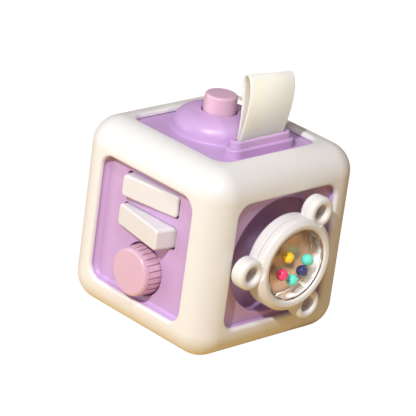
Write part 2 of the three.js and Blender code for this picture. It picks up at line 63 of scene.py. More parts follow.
# Every piece is modelled in millimetres on a face of the cube: u to the right, v up, w outwards from the
# cube's centre. deliver() then turns it onto its face and scales it to metres.
MM = 0.001
CENTRE = (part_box("shell_left")[0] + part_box("shell_right")[1]) / 2
HALF = 60
WALL = 2.6
OPENING = 40
OPENING_R = 9
FLANGE = 43.2
FLANGE_R = 12
FLANGE_TOP = 56.8
SKIN = 2
FRONT_FLOOR = 53.5
SIDE_FLOOR = 55

KEY_PIN = (-12.8, 50)
KEY_LEFT, KEY_RIGHT = 8.2, 34.8
KEY_HEIGHT = 13.6
KEY_FRONT, KEY_BACK = 9.2, 6
KEYS = {"key_upper": (27.4, -8), "key_lower": (7.4, 10.5)}
SLOT_HALF = (KEY_LEFT + KEY_RIGHT) / 2 + 1.9
SLOT_MID = KEY_PIN[0] + (KEY_RIGHT - KEY_LEFT) / 2 + 0.3
SLOT_CLEAR = 0.6

DIAL_V = -20.8
DIAL_R = 15.5
DIAL_WELL_R = 16.6
DIAL_WELL_FLOOR = 49

BUTTON_U = -7
BUTTON_R = 10.3
BUTTON_TOP = 80.2
SPRING_LOW, SPRING_TOP = 46.4, 75.3
DOME_R = 27
DOME_TOP = 69.5
BOSS_U = 29
BOSS_TOP = 66.8
SLEEVE_R = 13.2
SLEEVE_LOW = 57.3
WIRE_R = 0.45
SPRING_R = 5.4
SPRING_TURNS = 6

WELL_R = 36.4
WELL_FLOOR = 43
RATTLE_R = 29.2
RATTLE_BACK = 59
RATTLE_SEAM = 67
RATTLE_FRONT = 74.2
RING_INNER_R = 25.8
LENS_R = 25.4
LENS_INNER_R = 20.6
BEAD_R = 3.65
WINDOW_R = 22.6
EAR_ORBIT = 34.2
EAR_R = 9.6
EAR_HOLE_R = 4.9
EAR_ANGLES = (60, 180, -60)
BEAD_W = 68
BEADS = {
    "bead_yellow": (-3.4, 4.2, (-0.75, 0.62, 0.25)),
    "bead_teal_side": (13.6, -0.8, (0.2, 0.95, 0.1)),
    "bead_navy": (10.4, -7.4, (-0.2, 0.6, -0.75)),
    "bead_pink": (-6.4, -6.4, (-0.8, 0.5, 0.3)),
    "bead_teal_low": (2.9, -11.7, (-0.9, 0.15, 0.15)),
}

MIRROR_R = 30
DOOR_MID_V = -20.5
DOOR_SCREW_U = 29.5
SPEAKER_V = 24
SWITCH_U, SWITCH_V = 27, 24

SUN_AIM = (-0.33, 0.88, -0.78)
CAMERA_AT = (1.08518, -1.11877, 0.71032)
CAMERA_TURNS = ((44.27, "Z"), (67.595, "X"), (7.789, "Z"))
CAMERA_LENS = 242.2

LOOKS = {}  # the materials, by slot


def face_matrix(u, v):
    """Turns a face's u, v, w in millimetres into the frame's metres."""
    across, up = Vector(u), Vector(v)
    turn = Matrix((across, up, across.cross(up))).transposed().to_4x4()
    return Matrix.Translation(CENTRE) @ turn @ Matrix.Scale(MM, 4)


FACES = {
    "front": face_matrix((1, 0, 0), (0, 0, 1)),
    "back": face_matrix((-1, 0, 0), (0, 0, 1)),
    "right": face_matrix((0, 1, 0), (0, 0, 1)),
    "left": face_matrix((0, -1, 0), (0, 0, 1)),
    "top": face_matrix((1, 0, 0), (0, 1, 0)),
    "base": face_matrix((1, 0, 0), (0, -1, 0)),
}


# ---------------------------------------------------------------- modelling helpers


def only(piece):
    """Leaves this one object selected and active."""
    bpy.ops.object.select_all(action="DESELECT")
    piece.select_set(True)
    bpy.context.view_layer.objects.active = piece


@contextmanager
def editing(piece, kind="FACE"):
    """Edit mode on one piece, with nothing selected."""
    only(piece)
    bpy.ops.object.mode_set(mode="EDIT")
    bpy.ops.mesh.select_mode(type=kind)
    bpy.ops.mesh.select_all(action="DESELECT")
    yield
    bpy.ops.object.mode_set(mode="OBJECT")


def pick(piece, kind, test):
    """Selects the vertices, edges or faces that pass a test, and returns their number."""
    mesh = bmesh.from_edit_mesh(piece.data)
    items = {"VERT": mesh.verts, "EDGE": mesh.edges, "FACE": mesh.faces}[kind]
    found = [item for item in items if test(item)]
    for item in found:
        item.select_set(True)
    bmesh.update_edit_mesh(piece.data)
    return len(found)


def soften(piece, test, radius, steps=3):
    """Rounds the edges that pass a test."""
    with editing(piece, "EDGE"):
        if pick(piece, "EDGE", test):
            bpy.ops.mesh.bevel(offset=radius, segments=steps, affect="EDGES", clamp_overlap=True)
    return piece


def at_height(w, slack=0.02):
    """A test for edges that lie at one height."""
    return lambda edge: all(abs(v.co.z - w) < slack for v in edge.verts)


def crease(w, reach, slack=0.06):
    """A test for edges at one height and one distance from the w axis."""
    return lambda edge: all(abs(v.co.z - w) < slack and abs(v.co.xy.length - reach) < slack for v in edge.verts)


def sharp(edge):
    """Whether an edge turns by more than a radian."""
    return edge.calc_face_angle(0) > 1


def moved(piece, matrix):
    """Applies a placing to the piece's own mesh."""
    piece.matrix_world = matrix
    only(piece)
    bpy.ops.object.transform_apply(location=True, rotation=True, scale=True)
    return piece


def block(name, u0, u1, v0, v1, w0, w1):
    """A box between two corners."""
    bpy.ops.object.select_all(action="DESELECT")
    bpy.ops.mesh.primitive_cube_add(size=1, location=((u0 + u1) / 2, (v0 + v1) / 2, (w0 + w1) / 2))
    piece = bpy.context.object
    piece.name = name
    piece.scale = (u1 - u0, v1 - v0, w1 - w0)
    bpy.ops.object.transform_apply(location=True, rotation=True, scale=True)
    return piece


def slab(name, half_u, half_v, corner, w0, w1, u=0.0, v=0.0, top=0.0, low=0.0, steps=8):
    """A plate with rounded corners, and rounded top or bottom edges where asked."""
    piece = block(name, u - half_u, u + half_u, v - half_v, v + half_v, w0, w1)

    def upright(edge):
        return abs(edge.verts[0].co.z - edge.verts[1].co.z) > 0.5 * (w1 - w0)

    soften(piece, upright, corner, steps)
    if top:
        soften(piece, at_height(w1), top, 5)
    if low:
        soften(piece, at_height(w0), low, 6)
    return piece


def rod(name, radius, w0, w1, u=0.0, v=0.0, sides=64, low=0.0):
    """A round bar along w."""
    bpy.ops.object.select_all(action="DESELECT")
    bpy.ops.mesh.primitive_cylinder_add(vertices=sides, radius=radius, depth=w1 - w0, location=(u, v, (w0 + w1) / 2))
    piece = bpy.context.object
    piece.name = name
    bpy.ops.object.transform_apply(location=True, rotation=True, scale=True)
    if low:
        soften(piece, at_height(w0), low, 5)
    return piece


def rounded(corners, steps=5):
    """Turns (r, w, radius) corners into the points of a line whose corners are arcs."""
    points = []
    last = len(corners) - 1
    for i, corner in enumerate(corners):
        at = Vector(corner[:2])
        radius = corner[2] if len(corner) > 2 else 0
        if not radius or i in (0, last):
            points.append(tuple(at))
            continue
        back = (Vector(corners[i - 1][:2]) - at).normalized()
        on = (Vector(corners[i + 1][:2]) - at).normalized()
        half = back.angle(on) / 2
        middle = at + (back + on).normalized() * (radius / math.sin(half))
        first = at + back * (radius / math.tan(half)) - middle
        sweep = math.pi - 2 * half
        side = 1 if first.y * back.x - first.x * back.y > 0 else -1
        for k in range(steps + 1):
            angle = side * sweep * k / steps
            points.append(
                (
                    middle.x + first.x * math.cos(angle) - first.y * math.sin(angle),
                    middle.y + first.x * math.sin(angle) + first.y * math.cos(angle),
                )
            )
    return points


def turned(name, profile, u=0.0, v=0.0, steps=96):
    """Spins a line of (r, w) points about w. A line that starts and ends on one point makes a ring."""
    bpy.ops.object.select_all(action="DESELECT")
    bpy.ops.mesh.primitive_plane_add(size=1)
    piece = bpy.context.object
    piece.name = name
    with editing(piece, "VERT"):
        bpy.ops.mesh.select_all(action="SELECT")
        bpy.ops.mesh.merge(type="CENTER")
        bpy.ops.transform.translate(value=(profile[0][0], 0, profile[0][1]))
        for (r0, w0), (r1, w1) in zip(profile, profile[1:]):
            bpy.ops.mesh.extrude_vertices_move(TRANSFORM_OT_translate={"value": (r1 - r0, 0, w1 - w0)})
        bpy.ops.mesh.select_all(action="SELECT")
        bpy.ops.mesh.spin(steps=steps, angle=2 * math.pi, center=(0, 0, 0), axis=(0, 0, 1))
        bpy.ops.mesh.select_all(action="SELECT")
        bpy.ops.mesh.remove_doubles(threshold=0.002)
        bpy.ops.mesh.normals_make_consistent(inside=False)
    return moved(piece, Matrix.Translation((u, v, 0)))


def combine(piece, operation, tools):
    """Joins tools to a piece, or cuts them from it, and removes them."""
    for tool in tools:
        only(piece)
        step = piece.modifiers.new("combine", "BOOLEAN")
        step.operation = operation
        step.solver = "EXACT"
        step.object = tool
        bpy.ops.object.modifier_apply(modifier=step.name)
        bpy.data.objects.remove(tool)
    return piece


def cut(piece, *tools):
    """Cuts tools from a piece."""
    return combine(piece, "DIFFERENCE", tools)


def joined(piece, *tools):
    """Joins tools to a piece."""
    return combine(piece, "UNION", tools)


def tray(name, floor, soft):
    """A panel trapped behind the shell, with a shallow square dish."""
    panel = slab(name, FLANGE, FLANGE, FLANGE_R, floor - SKIN, FLANGE_TOP)
    rim = OPENING + 0.6
    return cut(panel, slab("tool", rim, rim, OPENING_R, floor, HALF, low=soft))


def deliver(piece, name, face, body, nodes, slot, angle=32, finish=None):
    """Puts a finished shape on its face, shades it, and hands it to its body."""
    piece.name = name
    with editing(piece, "VERT"):
        bpy.ops.mesh.select_all(action="SELECT")
        bpy.ops.mesh.remove_doubles(threshold=0.001)
        bpy.ops.mesh.dissolve_degenerate(threshold=0.001)
    moved(piece, FACES[face])
    only(piece)
    bpy.ops.object.shade_smooth_by_angle(angle=math.radians(angle))
    even = piece.modifiers.new("even_shading", "WEIGHTED_NORMAL")
    even.keep_sharp = True
    even.weight = 80
    bpy.ops.object.modifier_apply(modifier=even.name)
    piece.data.materials.clear()
    piece.data.materials.append(LOOKS[finish or slot])
    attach(piece, body)
    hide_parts(*nodes)
    return piece


# ---------------------------------------------------------------- material helpers


def feed(tree, made, sockets):
    """Links a node's inputs to other sockets, or sets their values."""
    for key, value in sockets.items():
        if isinstance(value, bpy.types.NodeSocket):
            tree.links.new(value, made.inputs[key])
        else:
            made.inputs[key].default_value = value
    return made


def node(tree, kind, sockets=None, **settings):
    """Adds a shader node and feeds its sockets."""
    made = tree.nodes.new(kind if kind.startswith("Node") else "ShaderNode" + kind)
    for key, value in settings.items():
        setattr(made, key, value)
    return feed(tree, made, sockets or {})


def maths(tree, operation, first, second=0.0, clamp=False):
    """One Math node."""
    return node(tree, "Math", {0: first, 1: second}, operation=operation, use_clamp=clamp).outputs[0]


def blended(tree, share, first, second, way="MIX"):
    """Mixes two colours."""
    made = node(tree, "Mix", data_type="RGBA", blend_type=way)
    return feed(tree, made, {0: share, 6: first, 7: second}).outputs[2]


def noise(tree, where, scale, detail=2.0, rough=0.5):
    """Noise from 0 to 1."""
    made = node(tree, "TexNoise", {"Vector": where, "Scale": scale, "Detail": detail, "Roughness": rough})
    return made.outputs["Fac"]


def ranged(tree, value, low, high, to_low, to_high):
    """Maps one range of values to another."""
    sockets = {"Value": value, "From Min": low, "From Max": high, "To Min": to_low, "To Max": to_high}
    return node(tree, "MapRange", sockets).outputs["Result"]


def new_group(name, inputs, outputs):
    """An empty node group with named sockets. Returns the tree, its input and its output node."""
    tree = bpy.data.node_groups.new(name, "ShaderNodeTree")
    for label, kind, default in inputs:
        socket = tree.interface.new_socket(label, in_out="INPUT", socket_type="NodeSocket" + kind)
        socket.default_value = default
    for label, kind in outputs:
        tree.interface.new_socket(label, in_out="OUTPUT", socket_type="NodeSocket" + kind)
    return tree, tree.nodes.new("NodeGroupInput"), tree.nodes.new("NodeGroupOutput")


def moulded_group():
    """Moulded plastic: fine sparked grain, soft clouding of the colour, and rubbed, glossier patches."""
    tree, given, out = new_group(
        "moulded_plastic",
        [("Colour", "Color", (1, 1, 1, 1)), ("Roughness", "Float", 0.4), ("Clouding", "Float", 0.04)],
        [("Colour", "Color"), ("Roughness", "Float"), ("Height", "Float")],
    )
    where = node(tree, "TexCoord").outputs["Object"]
    fine = noise(tree, where, 2600, 3, 0.6)
    broad = noise(tree, where, 55, 3, 0.55)
    rubbed = ranged(tree, noise(tree, where, 21, 4, 0.6), 0.45, 0.7, 0, 1)
    dark = blended(tree, given.outputs["Clouding"], given.outputs["Colour"], (0.55, 0.46, 0.42, 1), "MULTIPLY")
    spread = maths(tree, "MULTIPLY", maths(tree, "SUBTRACT", fine, 0.5), 0.16)
    polish = maths(tree, "MULTIPLY", rubbed, -0.06)
    rough = maths(tree, "ADD", given.outputs["Roughness"], maths(tree, "ADD", spread, polish), True)
    colour = blended(tree, broad, given.outputs["Colour"], dark)
    feed(tree, out, {"Colour": colour, "Roughness": rough, "Height": fine})


def scuff_group():
    """Thin handling scratches and specks, as a mask."""
    tree, given, out = new_group("handling_marks", [("Amount", "Float", 0.3)], [("Mask", "Float")])
    where = node(tree, "TexCoord").outputs["Object"]
    bent = node(tree, "VectorMath", {0: where, 1: (1.0, 0.35, 2.6)}, operation="MULTIPLY").outputs[0]
    lines = node(tree, "TexVoronoi", {"Vector": bent, "Scale": 95.0}, feature="DISTANCE_TO_EDGE").outputs["Distance"]
    thin = ranged(tree, lines, 0.0, 0.012, 1, 0)
    patch = ranged(tree, noise(tree, where, 34, 2), 0.56, 0.66, 0, 1)
    mask = maths(tree, "MULTIPLY", maths(tree, "MULTIPLY", thin, patch), given.outputs["Amount"])
    feed(tree, out, {"Mask": mask})


def weave_group():
    """Flat woven tape with a bound edge, on the piece's own UV map in millimetres: U across, V along."""
    tree, given, out = new_group(
        "woven_tape",
        [("Colour", "Color", (1, 1, 1, 1)), ("Half width", "Float", 18.0)],
        [("Colour", "Color"), ("Roughness", "Float"), ("Height", "Float")],
    )
    uv = node(tree, "TexCoord").outputs["UV"]
    across = node(tree, "SeparateXYZ", {0: uv})
    u, v = across.outputs[0], across.outputs[1]
    rib = maths(tree, "SINE", maths(tree, "MULTIPLY", v, 9.5))
    thread = maths(tree, "SINE", maths(tree, "MULTIPLY", u, 12.5))
    cloth = maths(tree, "MULTIPLY", maths(tree, "ADD", maths(tree, "MULTIPLY", rib, thread), 1.0), 0.5)
    away = maths(tree, "ABSOLUTE", maths(tree, "SUBTRACT", u, given.outputs["Half width"]))
    hem = ranged(tree, away, 15.6, 15.9, 0, 1)
    stitch_line = ranged(tree, maths(tree, "ABSOLUTE", maths(tree, "SUBTRACT", away, 15.3)), 0.1, 0.3, 1, 0)
    dashes = ranged(tree, maths(tree, "SINE", maths(tree, "MULTIPLY", v, 2.6)), -0.3, 0.2, 0, 1)
    stitches = maths(tree, "MULTIPLY", stitch_line, dashes)
    slub = noise(tree, uv, 0.6, 3)
    shade = maths(tree, "ADD", maths(tree, "MULTIPLY", cloth, 0.35), maths(tree, "MULTIPLY", slub, 0.3))
    darker = blended(tree, 1.0, given.outputs["Colour"], (0.90, 0.88, 0.83, 1), "MULTIPLY")
    cloth_colour = blended(tree, shade, given.outputs["Colour"], darker)
    bound = blended(tree, maths(tree, "MULTIPLY", hem, 0.5), cloth_colour, (0.93, 0.91, 0.84, 1))
    sewn = blended(tree, maths(tree, "MULTIPLY", stitches, 0.35), bound, (0.72, 0.66, 0.54, 1))
    height = maths(tree, "ADD", cloth, maths(tree, "MULTIPLY", stitches, 1.5))
    feed(tree, out, {"Colour": sewn, "Roughness": ranged(tree, cloth, 0, 1, 0.95, 0.8), "Height": height})


def placed_group(tree, name, sockets=None):
    """Places a node group in a material."""
    return feed(tree, node(tree, "Group", node_tree=bpy.data.node_groups[name]), sockets or {})


def blank(name):
    """A material with only its Principled shader and output."""
    look = bpy.data.materials.new(name)
    look.use_nodes = True
    look.node_tree.nodes.clear()
    shader = look.node_tree.nodes.new("ShaderNodeBsdfPrincipled")
    output = look.node_tree.nodes.new("ShaderNodeOutputMaterial")
    look.node_tree.links.new(shader.outputs[0], output.inputs[0])
    return look, look.node_tree, shader, output


def plastic(name, colour, roughness=0.42, clouding=0.05, grain=0.06, marks=0.3, **fixed):
    """Moulded plastic in one colour."""
    look, tree, shader, _ = blank(name)
    skin = placed_group(tree, "moulded_plastic", {"Colour": (*colour, 1), "Roughness": roughness, "Clouding": clouding})
    worn = placed_group(tree, "handling_marks", {"Amount": marks})
    pale = tuple(0.5 * c + 0.5 for c in colour)
    shown = blended(tree, maths(tree, "MULTIPLY", worn.outputs["Mask"], 0.35), skin.outputs["Colour"], (*pale, 1))
    rough = maths(tree, "ADD", skin.outputs["Roughness"], maths(tree, "MULTIPLY", worn.outputs["Mask"], 0.15), True)
    relief = maths(tree, "SUBTRACT", skin.outputs["Height"], worn.outputs["Mask"])
    bump = node(tree, "Bump", {"Strength": grain, "Distance": 0.0002, "Height": relief})
    feed(tree, shader, {"Base Color": shown, "Roughness": rough, "Normal": bump.outputs[0]})
    feed(tree, shader, {key.replace("_", " "): value for key, value in fixed.items()})
    return look


def woven(name, colour):
    """Woven tape that lets some light through."""
    look, tree, shader, _ = blank(name)
    tape = placed_group(tree, "woven_tape", {"Colour": (*colour, 1)})
    bump = node(tree, "Bump", {"Strength": 0.3, "Distance": 0.0003, "Height": tape.outputs["Height"]})
    woven_through = {
        "Base Color": tape.outputs["Colour"],
        "Roughness": tape.outputs["Roughness"],
        "Normal": bump.outputs[0],
        "Sheen Weight": 0.5,
        "Sheen Roughness": 0.6,
        "Subsurface Weight": 0.85,
        "Subsurface Radius": (1.0, 0.85, 0.6),
        "Subsurface Scale": 0.008,
    }
    feed(tree, shader, woven_through)
    return look


def metal(name, colour, roughness, grain_scale=900.0, grain=0.05, stretch=(1, 1, 12)):
    """Metal or silvered film with fine drawn lines."""
    look, tree, shader, _ = blank(name)
    where = node(tree, "TexCoord").outputs["Object"]
    drawn = node(tree, "Mapping", {"Vector": where, "Scale": stretch}).outputs[0]
    lines = noise(tree, drawn, grain_scale, 3)
    broad = noise(tree, where, 70, 3)
    darker = tuple(c * 0.82 for c in colour)
    shown = blended(tree, broad, (*colour, 1), (*darker, 1))
    rough = ranged(tree, lines, 0.3, 0.7, roughness * 0.8, roughness * 1.3)
    bump = node(tree, "Bump", {"Strength": grain, "Distance": 0.0001, "Height": lines})
    feed(tree, shader, {"Base Color": shown, "Roughness": rough, "Normal": bump.outputs[0], "Metallic": 1.0})
    return look


def clear_plastic(name):
    """Clear polished plastic that lets light through to what is behind it."""
    look, tree, shader, output = blank(name)
    where = node(tree, "TexCoord").outputs["Object"]
    haze = ranged(tree, noise(tree, where, 160, 4, 0.6), 0.55, 0.8, 0.0, 0.002)
    feed(tree, shader, {"Base Color": (1, 1, 1, 1), "Transmission Weight": 1.0, "IOR": 1.3, "Roughness": haze})
    see_through = node(tree, "BsdfTransparent")
    path = node(tree, "LightPath")
    mixed = node(tree, "MixShader", {0: path.outputs["Is Shadow Ray"], 1: shader.outputs[0], 2: see_through.outputs[0]})
    tree.links.new(mixed.outputs[0], output.inputs[0])
    return look


def colour_property(label, default):
    """A colour that a user may change."""
    return bpy.props.FloatVectorProperty(
        name=label, description=f"Colour of the {label.lower()}", subtype="COLOR", size=3, min=0, max=1, default=default
    )


def length_property(label, description, default):
    """A length that a user may change."""
    return bpy.props.FloatProperty(
        name=label, description=description, subtype="DISTANCE", unit="LENGTH", min=0, precision=5, default=default
    )


def strength_property(label, description, default):
    """A light's strength that a user may change."""
    return bpy.props.FloatProperty(name=label, description=description, min=0, default=default)


# ---------------------------------------------------------------- what a user may change


class CubeColours(bpy.types.PropertyGroup):
    """Colours of the cube's pieces."""

    shell: colour_property("Shell", (0.86, 0.845, 0.815))
    panel: colour_property("Panels", (0.62, 0.40, 0.69))
    key: colour_property("Keys", (0.81, 0.785, 0.785))
    knob: colour_property("Dial and button", (0.75, 0.485, 0.615))
    ribbon: colour_property("Ribbon", (0.96, 0.90, 0.72))
    # The silvered disc's warm brown tint is a painted reflection: it stands in for the warm surroundings the film
    # reflects, not for the film's own colour.
    disc_painted_reflection: colour_property("Silvered disc", (0.84, 0.54, 0.36))
    yellow: colour_property("Yellow bead", (0.90, 0.50, 0.02))
    teal: colour_property("Teal beads", (0.10, 0.66, 0.53))
    navy: colour_property("Navy bead", (0.008, 0.02, 0.12))
    pink: colour_property("Pink bead", (0.82, 0.03, 0.14))


class CubeSizes(bpy.types.PropertyGroup):
    """Sizes of the cube's edges and details."""

    edge: length_property("Edge radius", "Radius of the cube's long edges", 0.018)
    lip: length_property("Lip radius", "Rounding of the shell around each opening", 0.0018)
    seam: length_property("Seam gap", "Half the gap between the two shell halves", 0.00006)
    key_edge: length_property("Key edge", "Rounding of the keys' faces", 0.0014)
    groove: length_property("Dial groove", "Depth of the grooves around the dial", 0.0009)
    ribbon: length_property("Ribbon thickness", "Thickness of the woven tape", 0.0009)
    grooves: bpy.props.IntProperty(
        name="Dial grooves", description="Number of grooves around the dial", min=8, max=60, default=24
    )


class CubeLight(bpy.types.PropertyGroup):
    """Strength of the studio lights."""

    sun: strength_property("Key light", "Strength of the key light", 2.25)
    ribbon: strength_property("Ribbon light", "Power of the narrow light on the ribbon", 6)
    near: strength_property("Near light", "Power of the light beside the camera", 1.0)
    soft: strength_property("Soft light", "Power of the soft light", 0.75)
    fill: strength_property("Fill light", "Strength of the warm fill", 0.18)


class CUBE_OT_finishes(bpy.types.Operator):
    """Makes the plastics, cloth, metals and clear plastic of the cube."""

    bl_idname = "cube.finishes"
    bl_label = "Finishes"

    def execute(self, context):
        tint = context.scene.cube_colours
        moulded_group()
        scuff_group()
        weave_group()
        LOOKS.update(
            shell_white=plastic("shell_plastic", tint.shell, 0.40, 0.05, 0.05, 0.25),
            panel_lilac=plastic("panel_plastic", tint.panel, 0.36, 0.05, 0.05, 0.25),
            key_white=plastic("key_plastic", tint.key, 0.33, 0.04, 0.03, 0.2),
            knob_pink=plastic("knob_plastic", tint.knob, 0.34, 0.05, 0.04, 0.2),
            black_plastic=plastic("black_plastic", (0.02, 0.02, 0.024), 0.5, 0.1, 0.12, 0.4),
            board=plastic("board_lacquer", (0.02, 0.16, 0.07), 0.35, 0.4, 0.1, 0.1),
            ribbon_cream=woven("ribbon_tape", tint.ribbon),
            # The rattle disc's metal colour carries a painted reflection of warm surroundings.
            disc_silver=metal("silvered_film_painted_reflection", tint.disc_painted_reflection, 0.42, 300.0, 0.02, (1, 1, 1)),
            mirror=metal("mirror_film", (0.80, 0.80, 0.80), 0.05, 300.0, 0.01, (1, 1, 1)),
            steel=metal("plated_steel", (0.58, 0.58, 0.60), 0.30),
            wrap=metal("cell_wrap", (0.26, 0.30, 0.34), 0.35, 120.0, 0.03, (1, 1, 1)),
            lens_clear=clear_plastic("clear_plastic"),
        )
        for shade in ("yellow", "teal", "navy", "pink"):
            LOOKS["bead_" + shade] = plastic(
                f"bead_{shade}", getattr(tint, shade), 0.12, 0.05, 0.01, 0.15, Coat_Weight=0.6, Coat_Roughness=0.05
            )
        return {"FINISHED"}


class CUBE_OT_shell(bpy.types.Operator):
    """Builds the two halves of the outer shell."""

    bl_idname = "cube.shell"
    bl_label = "Outer shell"

    def execute(self, context):
        size = context.scene.cube_sizes
        edge, lip, seam = size.edge / MM, size.lip / MM, size.seam / MM
        whole = block("shell", -HALF, HALF, -HALF, HALF, -HALF, HALF)
        soften(whole, lambda e: True, edge, 14)
        inside = HALF - WALL
        hollow = block("tool", -inside, inside, -inside, inside, -inside, inside)
        soften(hollow, lambda e: True, edge - WALL, 8)
        windows = [slab("tool", OPENING, OPENING, OPENING_R, -70, 70, steps=10) for _ in range(3)]
        moved(windows[1], Matrix.Rotation(math.pi / 2, 4, "X"))
        moved(windows[2], Matrix.Rotation(math.pi / 2, 4, "Y"))
        cut(whole, hollow, *windows)

        def outer_lip(edge_):
            return sharp(edge_) and all(max(abs(c) for c in v.co) > HALF - 0.02 for v in edge_.verts)

        soften(whole, outer_lip, lip, 5)
        only(whole)
        bpy.ops.object.duplicate()
        halves = {-1: whole, 1: bpy.context.object}
        for side, half in halves.items():
            with editing(half):
                bpy.ops.mesh.select_all(action="SELECT")
                bpy.ops.mesh.bisect(
                    plane_co=(side * seam, 0, 0), plane_no=(side, 0, 0), use_fill=True, clear_inner=True
                )

            def seam_edge(edge_):
                return sharp(edge_) and all(
                    abs(v.co.x - side * seam) < 0.01 and max(abs(v.co.y), abs(v.co.z)) > HALF - 2
                    for v in edge_.verts
                )

            soften(half, seam_edge, 0.4, 2)
            word = "left" if side < 0 else "right"
            deliver(half, f"shell_half_{word}", "top", "case", [f"shell_{word}"], "shell_white")
        return {"FINISHED"}


class CUBE_OT_front(bpy.types.Operator):
    """Builds the front panel, its two rocker keys and the dial."""

    bl_idname = "cube.front"
    bl_label = "Front panel, keys and dial"

    def execute(self, context):
        size = context.scene.cube_sizes
        panel = tray("panel", FRONT_FLOOR, 3)
        joined(panel, rod("tool", DIAL_WELL_R + SKIN, DIAL_WELL_FLOOR - SKIN, FRONT_FLOOR - 0.5, v=DIAL_V, sides=96))
        slots = [
            slab("tool", SLOT_HALF, KEY_HEIGHT / 2 + SLOT_CLEAR, 2.6, 40, HALF, SLOT_MID, v, steps=6)
            for v, _ in KEYS.values()
        ]
        well = rod("tool", DIAL_WELL_R, DIAL_WELL_FLOOR, HALF, v=DIAL_V, sides=96)
        cut(panel, *slots, well, rod("tool", 3.5, 40, HALF, v=DIAL_V, sides=32))

        def rims(edge):
            on_floor = all(abs(v.co.z - FRONT_FLOOR) < 0.02 for v in edge.verts)
            return on_floor and sharp(edge)

        soften(panel, rims, 0.45, 3)
        deliver(panel, "front_dish", "front", "case", ["front_panel"], "panel_lilac")

        for name, (v, tilt) in KEYS.items():
            half = (KEY_LEFT + KEY_RIGHT) / 2
            middle = (KEY_RIGHT - KEY_LEFT) / 2
            key = slab("key", half, KEY_HEIGHT / 2, 2.4, -KEY_BACK, KEY_FRONT, middle, top=size.key_edge / MM, steps=6)
            soften(key, at_height(-KEY_BACK), 0.6, 2)
            bore = moved(rod("tool", 1.8, -20, 20, sides=24), Matrix.Rotation(math.pi / 2, 4, "X"))
            cut(key, bore)
            turn = Matrix.Rotation(math.radians(-tilt), 4, "Y")
            moved(key, Matrix.Translation((KEY_PIN[0], v, KEY_PIN[1])) @ turn)
            deliver(key, name + "_cap", "front", name, [name], "key_white")

        steps = size.grooves * 3
        low, shoulder, front = DIAL_WELL_FLOOR + 0.6, 61.8, 65
        profile = rounded(
            [(0, 42), (3.2, 42), (3.2, low), (DIAL_R - 0.1, low, 0.5), (DIAL_R, low + 1)], 3
        ) + rounded([(DIAL_R - 0.65, shoulder), (DIAL_R - 0.9, front, 1.9), (0, front)], 7)
        dial = turned("dial", profile, steps=steps)

        def groove(face):
            centre = face.calc_center_median()
            if abs(face.normal.z) > 0.2 or not low + 1 < centre.z < shoulder or centre.xy.length < 10:
                return False
            slot = math.atan2(centre.y, centre.x) / (2 * math.pi / steps)
            return round(slot - 0.5) % 3 == 0

        with editing(dial):
            pick(dial, "FACE", groove)
            bpy.ops.mesh.inset(thickness=0.08, depth=-size.groove / MM, use_individual=True)
        moved(dial, Matrix.Translation((0, DIAL_V, 0)))
        deliver(dial, "dial_grip", "front", "dial", ["dial_knob"], "knob_pink", 28)
        return {"FINISHED"}


